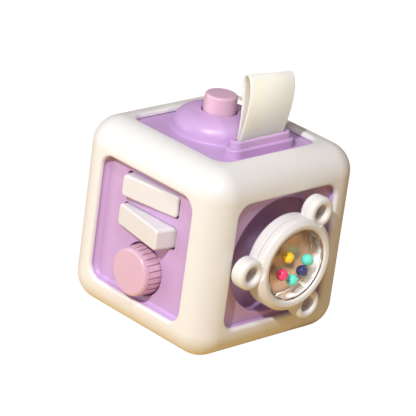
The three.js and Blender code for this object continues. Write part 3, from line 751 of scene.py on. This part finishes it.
class CUBE_OT_top(bpy.types.Operator):
    """Builds the top panel with its dome and ribbon boss, and the push button."""

    bl_idname = "cube.top"
    bl_label = "Top panel and button"

    def execute(self, context):
        panel = slab("panel", FLANGE, FLANGE, FLANGE_R, FLANGE_TOP - SKIN, FLANGE_TOP)
        guide = BUTTON_R + 0.6
        curve = []
        for k in range(15):
            angle = math.pi / 2 * k / 14
            reach = 12.6 + (DOME_R - 12.6) * math.cos(angle) ** 0.82
            curve.append((reach, 58.2 + (DOME_TOP - 58.2) * math.sin(angle) ** 0.86))
        low = FLANGE_TOP - SKIN
        foot = [(DOME_R + 1.6 * (1 - math.sin(a)), 58.4 - 1.62 * math.cos(a)) for a in (0, 0.3, 0.6, 0.9, 1.2)]
        dome = (
            [(SLEEVE_R, low), (foot[0][0], low)]
            + foot
            + curve[1:]
            + rounded([(12.4, DOME_TOP), (guide, DOME_TOP, 0.8), (guide, SLEEVE_LOW)], 4)
            + [(SLEEVE_R, SLEEVE_LOW), (SLEEVE_R, low)]
        )
        joined(panel, turned("tool", dome, u=BUTTON_U, steps=112))
        cut(panel, rod("tool", SLEEVE_R, 50, SLEEVE_LOW, u=BUTTON_U, sides=96))
        joined(panel, slab("tool", 6.3, 25.6, 5.6, low, 62.4, BOSS_U, top=1.1, steps=10))
        joined(panel, slab("tool", 4.3, 22.8, 4, low, BOSS_TOP, BOSS_U, top=1.1, steps=10))
        cut(panel, slab("tool", 2.1, 19.5, 0.8, 50, 75, BOSS_U + 0.2, steps=4))

        def slot_rim(edge):
            on_top = all(abs(v.co.z - BOSS_TOP) < 0.02 and abs(v.co.x - BOSS_U) < 2.5 for v in edge.verts)
            return on_top and sharp(edge)

        soften(panel, slot_rim, 0.4, 2)
        deliver(panel, "top_dome", "top", "case", ["top_panel"], "panel_lilac")

        profile = rounded(
            [
                (8.3, 55),
                (12.5, 55),
                (12.5, 56.8),
                (BUTTON_R, 56.8),
                (BUTTON_R - 0.1, 68),
                (BUTTON_R - 0.5, BUTTON_TOP - 0.2, 1.7),
                (0, BUTTON_TOP),
            ],
            8,
        )
        button = turned("button", profile, u=BUTTON_U, steps=96)
        lid = turned("tool", [(0, 50), (8.3, 50), (8.3, 76), (0, 76)], u=BUTTON_U, steps=48)
        with editing(button, "EDGE"):
            bpy.ops.mesh.select_non_manifold()
            bpy.ops.mesh.fill()
        cut(button, lid)
        deliver(button, "button_cap", "top", "button", ["push_button"], "knob_pink")
        bpy.ops.object.select_all(action="DESELECT")
        bpy.ops.mesh.primitive_circle_add(
            vertices=10, radius=WIRE_R, location=(SPRING_R, 0, SPRING_LOW), rotation=(math.pi / 2, 0, 0)
        )
        spring = bpy.context.object
        bpy.ops.object.transform_apply(location=True, rotation=True, scale=True)
        wound = spring.modifiers.new("wound", "SCREW")
        wound.iterations = SPRING_TURNS
        wound.screw_offset = (SPRING_TOP - SPRING_LOW) / SPRING_TURNS
        wound.steps = 32
        only(spring)
        bpy.ops.object.modifier_apply(modifier=wound.name)
        with editing(spring, "EDGE"):
            bpy.ops.mesh.select_non_manifold()
            bpy.ops.mesh.fill()
            bpy.ops.mesh.select_all(action="SELECT")
            bpy.ops.mesh.normals_make_consistent(inside=False)
        moved(spring, Matrix.Translation((BUTTON_U, 0, 0)))
        deliver(spring, "button_coil", "top", "case", ["button_spring"], "steel", 50)
        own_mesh(spring)
        return {"FINISHED"}


def between(a, b, c, d, t):
    """The Catmull-Rom value between b and c."""
    return 0.5 * (2 * b + (c - a) * t + (2 * a - 5 * b + 4 * c - d) * t * t + (3 * b - a - 3 * c + d) * t**3)


def smooth_line(points, share=6):
    """Points along a Catmull-Rom line through the given ones."""
    ends = [points[0], *points, points[-1]]
    line = []
    for p0, p1, p2, p3 in zip(ends, ends[1:], ends[2:], ends[3:]):
        for k in range(share):
            t = k / share
            line.append(tuple(between(*four, t) for four in zip(p0, p1, p2, p3)))
    return [*line, points[-1]]


class CUBE_OT_ribbon(bpy.types.Operator):
    """Builds the ribbon, a tape folded over into a loop."""

    bl_idname = "cube.ribbon"
    bl_label = "Ribbon"

    def execute(self, context):
        thick = context.scene.cube_sizes.ribbon / MM
        width, columns = 36, 24
        loop = [
            (29.8, 18.2), (29.8, 40), (29.8, 58), (30.1, 66), (31.4, 75.5), (32.5, 85), (32.7, 94), (31.9, 101.5),
            (30.2, 106.2), (28.0, 108.4), (26.0, 107.4), (25.2, 103.8), (26.0, 97.5), (27.3, 90), (28.1, 82),
            (28.3, 74), (28.3, 66), (28.6, 58), (28.6, 40), (28.6, 18.2),
        ]  # fmt: skip
        line = smooth_line(loop)
        travelled = [0.0]
        for (x0, z0), (x1, z1) in zip(line, line[1:]):
            travelled.append(travelled[-1] + math.hypot(x1 - x0, z1 - z0))
        bpy.ops.object.select_all(action="DESELECT")
        bpy.ops.mesh.primitive_grid_add(x_subdivisions=columns, y_subdivisions=len(line) - 1, size=1)
        tape = bpy.context.object
        mesh = tape.data
        layer = mesh.uv_layers.active or mesh.uv_layers.new(name="UVMap")
        across = columns + 1
        for loop_ in mesh.loops:
            row, column = divmod(loop_.vertex_index, across)
            layer.data[loop_.index].uv = (width * column / columns, travelled[row])
        for index, vertex in enumerate(mesh.vertices):
            row, column = divmod(index, across)
            x, z = line[row]
            share = column / columns
            lift = max(0.0, (z - 68) / 40)
            bow = math.sin(math.pi * share)
            vertex.co = (
                x + lift * (1.6 + 0.5 * share) + 0.35 * bow * lift,
                -width / 2 + width * share,
                z + lift * (-1.4 - 3.1 * share) + 0.25 * bow * lift,
            )
        bound = tape.vertex_groups.new(name="bound_edge")
        for index in range(len(mesh.vertices)):
            edge_near = min(index % across, columns - index % across)
            bound.add([index], 1.0 if edge_near < 2 else 0.8, "REPLACE")
        solid = tape.modifiers.new("tape", "SOLIDIFY")
        solid.thickness = thick
        solid.offset = 0
        solid.vertex_group = bound.name
        solid.use_quality_normals = True
        solid.use_even_offset = True
        only(tape)
        with editing(tape):
            bpy.ops.mesh.select_all(action="SELECT")
            bpy.ops.mesh.normals_make_consistent(inside=False)
        bpy.ops.object.modifier_apply(modifier=solid.name)
        soften(tape, lambda e: e.calc_face_angle(0) > 1.2, thick * 0.3, 2)
        deliver(tape, "ribbon_tape", "top", "ribbon", ["ribbon_strap"], "ribbon_cream", 50)
        return {"FINISHED"}


class CUBE_OT_rattle(bpy.types.Operator):
    """Builds the side panel with its well, and the rattle that turns in it."""

    bl_idname = "cube.rattle"
    bl_label = "Side panel and rattle"

    def execute(self, context):
        panel = tray("panel", SIDE_FLOOR, 1.6)
        joined(panel, rod("tool", WELL_R + SKIN, WELL_FLOOR - SKIN, SIDE_FLOOR - 0.5, sides=128))
        cut(panel, rod("tool", WELL_R, WELL_FLOOR, HALF + 5, sides=128, low=2))
        cut(panel, rod("tool", 4.9, 35, HALF, sides=48))
        soften(panel, crease(SIDE_FLOOR, WELL_R), 0.7, 4)
        deliver(panel, "side_dish", "right", "case", ["right_panel"], "panel_lilac")

        def at_ears(outline, steps):
            spots = [(math.cos(math.radians(turn)), math.sin(math.radians(turn))) for turn in EAR_ANGLES]
            return [turned("tool", outline, EAR_ORBIT * u, EAR_ORBIT * v, steps) for u, v in spots]

        def ears(low, high, soft_low, soft_high):
            outline = rounded([(0, low), (EAR_R, low, soft_low), (EAR_R, high, soft_high), (0, high)], 6)
            return at_ears(outline, 64)

        def ear_holes(low, high, flare_low, flare_high):
            wide_low, wide_high = EAR_HOLE_R + flare_low + 1, EAR_HOLE_R + flare_high + 1
            below = [(0, low - 3), (wide_low, low - 3), (wide_low, low), (EAR_HOLE_R, low, flare_low)]
            above = [(EAR_HOLE_R, high, flare_high), (wide_high, high), (wide_high, high + 3), (0, high + 3)]
            return at_ears(rounded(below + above, 5), 48)

        ring_profile = rounded(
            [
                (RING_INNER_R, 69.4),
                (RING_INNER_R, RATTLE_SEAM),
                (RATTLE_R, RATTLE_SEAM + 0.1, 0.5),
                (RATTLE_R, 71.6, 3.2),
                (RING_INNER_R, RATTLE_FRONT, 2.2),
                (WINDOW_R + 0.9, RATTLE_FRONT - 0.5, 0.4),
                (WINDOW_R, RATTLE_FRONT - 1.3, 0.4),
                (WINDOW_R, 71.0),
                (RING_INNER_R, 71.0),
                (RING_INNER_R, 69.4),
            ],
            6,
        )
        ear_front = 71.8
        ring = turned("ring", ring_profile, steps=128)
        for ear in ears(RATTLE_SEAM + 0.03, ear_front, 0.15, 2.4):
            cut(ear, rod("tool", RATTLE_R - 1.2, 60, 80, sides=96))
            joined(ring, ear)
        cut(ring, *ear_holes(RATTLE_SEAM, ear_front + 0.02, 0.2, 1.9))

        def ear_joint(edge):
            near = all(v.co.z > RATTLE_SEAM + 0.3 and 26.5 < v.co.xy.length < 31.5 for v in edge.verts)
            return near and edge.calc_face_angle(0) > 0.35 and not edge.is_convex

        soften(ring, ear_joint, 0.9, 3)
        deliver(ring, "rattle_ring", "right", "rattle", ["rattle_front_ring"], "shell_white", 40)

        back = RATTLE_SEAM - 0.3
        shell_profile = rounded(
            [
                (0, RATTLE_BACK),
                (RATTLE_R, RATTLE_BACK, 2.6),
                (RATTLE_R, back, 0.5),
                (RATTLE_R - SKIN, back),
                (RATTLE_R - SKIN, RATTLE_BACK + SKIN),
                (0, RATTLE_BACK + SKIN),
            ],
            5,
        )
        shell = turned("shell", shell_profile, steps=128)
        for ear in ears(62.3, RATTLE_SEAM - 0.1, 1.6, 0.15):
            cut(ear, rod("tool", RATTLE_R - 1.2, 50, 80, sides=96))
            joined(shell, ear)
        cut(shell, *ear_holes(62.28, RATTLE_SEAM - 0.07, 1.4, 0.15))
        deliver(shell, "rattle_shell", "right", "rattle", ["rattle_back_shell"], "shell_white", 40)

        disc = turned("disc", rounded([(0, 61.3), (26.4, 61.3), (26.4, 62.4, 0.3), (0, 62.4)], 3), steps=96)
        deliver(disc, "rattle_mirror", "right", "rattle", ["rattle_back_disc"], "disc_silver")

        rim, inner_r = WINDOW_R - 0.3, LENS_INNER_R
        shares = [k / 12 for k in range(13)]
        outer = [(rim * (1 - k), 72.7 + 3.7 * (1 - (1 - k) ** 2)) for k in shares]
        inner = [(inner_r * k, 71.5 + 3.6 * (1 - k**2)) for k in shares]
        foot = [(inner_r, 63.4), (23.4, 63.4), (23.4, 69.2), (LENS_R, 69.2), (LENS_R, 70.6), (rim, 70.6)]
        lens = turned("lens", [*inner, *foot, *outer], steps=96)
        cut(lens, rod("tool", 21.3, 63, 70.9, sides=15))
        deliver(lens, "rattle_window", "right", "rattle", ["rattle_lens"], "lens_clear", 18)

        spindle = turned(
            "spindle",
            rounded([(0, 36), (4.5, 36, 0.5), (4.5, 52), (9, 52, 0.8), (9, 58.7, 0.3), (0, 58.7)], 3),
            steps=64,
        )
        deliver(spindle, "rattle_axle", "right", "rattle", ["rattle_spindle"], "shell_white")

        for name, (u, v, bore) in BEADS.items():
            arc = [math.radians(-77 + 154 * k / 20) for k in range(21)]
            ball = [(BEAD_R * math.cos(a), BEAD_R * math.sin(a)) for a in arc]
            hole = ball[0][0] - 0.12
            bead = turned("bead", [*ball, (hole, ball[-1][1]), (hole, ball[0][1]), ball[0]], steps=40)
            aim = Vector(bore).normalized().to_track_quat("Z", "Y").to_matrix().to_4x4()
            moved(bead, Matrix.Translation((u, v, BEAD_W)) @ aim)
            shade = "bead_" + name.split("_")[1]
            deliver(bead, name + "_ball", "right", "rattle", [name], shade, 40)
        return {"FINISHED"}


class CUBE_OT_left(bpy.types.Operator):
    """Builds the left panel and its sliding knob."""

    bl_idname = "cube.left"
    bl_label = "Left panel and slider"

    def execute(self, context):
        panel = tray("panel", SIDE_FLOOR, 1.6)
        cut(panel, slab("tool", 24, 3.4, 3.3, 45, HALF, steps=8))

        def rim(edge):
            return at_height(SIDE_FLOOR)(edge) and sharp(edge)

        soften(panel, rim, 0.5, 3)
        deliver(panel, "left_dish", "left", "case", ["left_panel"], "panel_lilac")
        profile = rounded(
            [(0, 55.3), (9, 55.3, 0.4), (9, 63.4, 1.6), (5.6, 63.2, 1.2), (3.2, 62.2, 2), (0, 62.1)], 6
        )
        knob = turned("knob", profile, steps=80)

        def grip(face):
            centre = face.calc_center_median()
            return abs(face.normal.z) < 0.05 and centre.xy.length > 8.5 and 56 < centre.z < 62 and (
                round(math.atan2(centre.y, centre.x) / (2 * math.pi / 80) - 0.5) % 4 == 0
            )

        with editing(knob):
            pick(knob, "FACE", grip)
            bpy.ops.mesh.inset(thickness=0.1, depth=-0.4, use_individual=True)
        joined(knob, block("tool", -4, 4, -2.8, 2.8, 50.4, 56))
        deliver(knob, "slider_grip", "left", "slider", ["slider_knob"], "knob_pink", 28)
        return {"FINISHED"}


class CUBE_OT_back(bpy.types.Operator):
    """Builds the back panel with its round mirror."""

    bl_idname = "cube.back"
    bl_label = "Back panel and mirror"

    def execute(self, context):
        panel = tray("panel", SIDE_FLOOR, 1.6)
        deliver(panel, "back_dish", "back", "case", ["back_panel"], "panel_lilac")
        low = SIDE_FLOOR + 0.3
        disc = turned("disc", rounded([(0, low), (MIRROR_R, low), (MIRROR_R, 56.5, 0.3), (0, 56.5)], 3), steps=96)
        deliver(disc, "mirror_glass", "back", "case", ["mirror_disc"], "disc_silver", finish="mirror")
        profile = rounded(
            [
                (30.3, low),
                (33.2, low),
                (33.2, 57.8, 1.4),
                (31.6, 59, 1.0),
                (29.0, 59, 1.0),
                (27.6, 57.6, 0.5),
                (27.6, 56.8),
                (30.3, 56.8),
                (30.3, low),
            ],
            5,
        )
        bezel = turned("bezel", profile, steps=112)
        deliver(bezel, "mirror_ring", "back", "case", ["mirror_bezel"], "shell_white", 40)
        return {"FINISHED"}


class CUBE_OT_base(bpy.types.Operator):
    """Builds the base panel, battery door, its screw and the power switch."""

    bl_idname = "cube.base"
    bl_label = "Base"

    def execute(self, context):
        panel = slab("panel", FLANGE, FLANGE, FLANGE_R, FLANGE_TOP - SKIN, FLANGE_TOP)
        rim = OPENING - 0.3
        joined(panel, slab("tool", rim, rim, OPENING_R, FLANGE_TOP - 1, HALF, top=0.5, steps=8))
        cut(panel, slab("tool", 33.3, 17.3, 3.3, 57.7, HALF + 1, v=DOOR_MID_V, steps=6))
        cut(panel, slab("tool", 30.5, 14.5, 3, 50, HALF + 1, v=DOOR_MID_V, steps=6))
        cut(
            panel,
            rod("tool", 2, 50, HALF + 1, DOOR_SCREW_U, DOOR_MID_V, 32),
            slab("tool", 5.5, 3, 0.6, 50, HALF + 1, SWITCH_U, SWITCH_V, steps=3),
        )
        holes = [(0.0, 0.0)] + [
            (6.5 * math.cos(math.radians(60 * k)), 6.5 * math.sin(math.radians(60 * k))) for k in range(6)
        ]
        cut(panel, *[rod("tool", 1.3, 50, HALF + 1, u, SPEAKER_V + v, 24) for u, v in holes])

        def rims(edge):
            inside = all(abs(v.co.x) < 38.5 and abs(v.co.y) < 38.5 for v in edge.verts)
            return at_height(HALF)(edge) and inside and sharp(edge)

        soften(panel, rims, 0.25, 2)
        deliver(panel, "base_plate", "base", "case", ["base_panel"], "shell_white")

        door = slab("door", 33, 17, 3, 58, HALF, v=DOOR_MID_V, top=0.3, steps=6)
        cut(door, rod("tool", 3, 50, HALF + 1, DOOR_SCREW_U, DOOR_MID_V, 48))
        ribs = [
            slab("tool", 0.5, 6, 0.45, HALF - 0.5, HALF + 1, -26 + 2.4 * k, DOOR_MID_V, steps=3) for k in range(4)
        ]
        cut(door, *ribs)
        deliver(door, "battery_lid", "base", "case", ["battery_door"], "shell_white")

        profile = rounded([(0, 48), (1.1, 48), (1.1, 58), (2.6, 58), (2.6, 59.4, 0.7), (0, 59.4)], 4)
        screw = turned("screw", profile, steps=40)
        cut(screw, block("tool", -1.8, 1.8, -0.35, 0.35, 58.6, 60))
        cut(screw, block("tool", -0.35, 0.35, -1.8, 1.8, 58.6, 60))
        moved(screw, Matrix.Translation((DOOR_SCREW_U, DOOR_MID_V, 0)))
        deliver(screw, "battery_lid_screw", "base", "case", ["battery_door_screw"], "steel")

        thumb = slab("thumb", 2, 2.4, 0.5, 51.4, 58.6, SWITCH_U - 2.6, SWITCH_V, top=0.3, steps=3)
        cut(
            thumb,
            *[
                block("tool", u - 0.25, u + 0.25, SWITCH_V - 3, SWITCH_V + 3, 58.2, 60)
                for u in (SWITCH_U - 3.6, SWITCH_U - 2.6, SWITCH_U - 1.6)
            ],
        )
        name = "power_switch_slider"
        deliver(thumb, "power_switch_thumb", "base", "power_switch", [name], "black_plastic")
        return {"FINISHED"}


KEPT = {
    "steel": (
        "case_screw_1 case_screw_2 case_screw_3 case_screw_4 key_pin dial_clip rattle_clip "
        "battery_contact_left battery_contact_right"
    ),
    "black_plastic": "key_switch_upper key_switch_lower button_switch speaker power_switch_body",
    "board": "circuit_board",
    "shell_white": "button_seat ribbon_stop_bar slider_plate battery_box",
    "wrap": "battery_cell_1 battery_cell_2 battery_cell_3",
}


class CUBE_OT_insides(bpy.types.Operator):
    """Gives the pieces inside the cube their finishes."""

    bl_idname = "cube.insides"
    bl_label = "Pieces inside"

    def execute(self, context):
        for finish, names in KEPT.items():
            for name in names.split():
                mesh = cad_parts[name].data
                mesh.materials.clear()
                mesh.materials.append(LOOKS[finish])
        return {"FINISHED"}


class CUBE_OT_stage(bpy.types.Operator):
    """Sets the floor, the studio light and the camera."""

    bl_idname = "cube.stage"
    bl_label = "Stage"

    def execute(self, context):
        scene = context.scene
        light = scene.cube_light
        bpy.ops.object.select_all(action="DESELECT")
        bpy.ops.mesh.primitive_plane_add(size=8, location=(0, 0, 0))
        floor = bpy.context.object
        floor.name = "studio_floor"
        floor_look, tree, shader, output = blank("studio_floor")
        where = node(tree, "TexCoord").outputs["Object"]
        cloud = noise(tree, where, 3.0, 3)
        tone = blended(tree, cloud, (0.72, 0.50, 0.18, 1), (0.76, 0.54, 0.21, 1))
        tree.links.new(tone, shader.inputs["Base Color"])
        shader.inputs["Roughness"].default_value = 0.9
        glow = node(tree, "Emission", {"Color": (1, 1, 1, 1), "Strength": 1.05})
        seen = node(tree, "LightPath").outputs["Is Camera Ray"]
        share = maths(tree, "MULTIPLY", seen, 0.97)
        mixed = node(tree, "MixShader", {0: share, 1: shader.outputs[0], 2: glow.outputs[0]})
        tree.links.new(mixed.outputs[0], output.inputs[0])
        floor.data.materials.append(floor_look)

        def lamp(kind, name, place, towards, energy, colour, **settings):
            bpy.ops.object.light_add(type=kind, location=place)
            made = bpy.context.object
            made.name = name
            made.data.energy = energy
            made.data.color = colour
            for key, value in settings.items():
                setattr(made.data, key, value)
            made.rotation_mode = "QUATERNION"
            made.rotation_quaternion = towards.to_track_quat("-Z", "Y")

        soft, near, narrow = Vector((-0.34, -0.40, 0.16)), Vector((0.29, -0.27, 0.53)), Vector((0.36, -0.10, 0.33))
        ribbon_top = Vector((0.032, 0, 0.156))
        hard = {"angle": math.radians(2.5)}
        snoot = {"spot_size": math.radians(7.2), "spot_blend": 0.6, "shadow_soft_size": 0.02}
        lamp("SUN", "key_light", (0.3, -0.9, 0.9), Vector(SUN_AIM), light.sun, (0.95, 0.965, 1.0), **hard)
        lamp("AREA", "soft_light", soft, CENTRE - soft, light.soft, (0.88, 0.96, 1.0), size=0.3)
        lamp("AREA", "near_light", near, CENTRE - near, light.near, (0.88, 0.97, 1.0), size=0.09)
        lamp("SPOT", "ribbon_light", narrow, ribbon_top - narrow, light.ribbon, (1.0, 0.95, 0.80), **snoot)

        world = bpy.data.worlds.new("studio")
        scene.world = world
        world.use_nodes = True
        sky = world.node_tree
        sky.nodes.clear()
        background = node(sky, "Background", {"Color": (1.0, 0.72, 0.70, 1), "Strength": light.fill})
        white = node(sky, "Background", {"Color": (1, 1, 1, 1), "Strength": 1.0})
        path = node(sky, "LightPath")
        both = node(
            sky, "MixShader", {0: path.outputs["Is Camera Ray"], 1: background.outputs[0], 2: white.outputs[0]}
        )
        sky.links.new(both.outputs[0], node(sky, "OutputWorld").inputs[0])

        bpy.ops.object.camera_add()
        camera = bpy.context.object
        camera.name = "camera"
        camera.data.lens = CAMERA_LENS
        camera.data.sensor_width = 36
        camera.data.clip_end = 50
        at = Matrix.Translation(CAMERA_AT)
        for degrees, axis in CAMERA_TURNS:
            at = at @ Matrix.Rotation(math.radians(degrees), 4, axis)
        camera.matrix_world = at
        scene.camera = camera
        scene.view_settings.view_transform = "Standard"
        return {"FINISHED"}


OPERATORS = (
    CUBE_OT_finishes,
    CUBE_OT_shell,
    CUBE_OT_front,
    CUBE_OT_top,
    CUBE_OT_ribbon,
    CUBE_OT_rattle,
    CUBE_OT_left,
    CUBE_OT_back,
    CUBE_OT_base,
    CUBE_OT_insides,
    CUBE_OT_stage,
)
SETTINGS = {"cube_colours": CubeColours, "cube_sizes": CubeSizes, "cube_light": CubeLight}


class CUBE_PT_panel(bpy.types.Panel):
    """Lists the cube's settings and building steps."""

    bl_idname = "CUBE_PT_panel"
    bl_label = "Activity Cube"
    bl_space_type = "VIEW_3D"
    bl_region_type = "UI"
    bl_category = "Activity Cube"

    def draw(self, context):
        for name, kind in SETTINGS.items():
            group = getattr(context.scene, name)
            for prop in kind.__annotations__:
                self.layout.prop(group, prop)
        for operator in OPERATORS:
            self.layout.operator(operator.bl_idname)


def register():
    """Adds the settings, the operators and the panel."""
    for kind in (*SETTINGS.values(), *OPERATORS, CUBE_PT_panel):
        bpy.utils.register_class(kind)
    for name, kind in SETTINGS.items():
        setattr(bpy.types.Scene, name, bpy.props.PointerProperty(type=kind))


def unregister():
    """Removes what register() added."""
    for name in SETTINGS:
        delattr(bpy.types.Scene, name)
    for kind in reversed((*SETTINGS.values(), *OPERATORS, CUBE_PT_panel)):
        bpy.utils.unregister_class(kind)


def main():
    """Builds the cube."""
    register()
    for operator in OPERATORS:
        area, action = operator.bl_idname.split(".")
        getattr(getattr(bpy.ops, area), action)()
    bpy.ops.object.select_all(action="DESELECT")


if __name__ == "__main__":
    main()
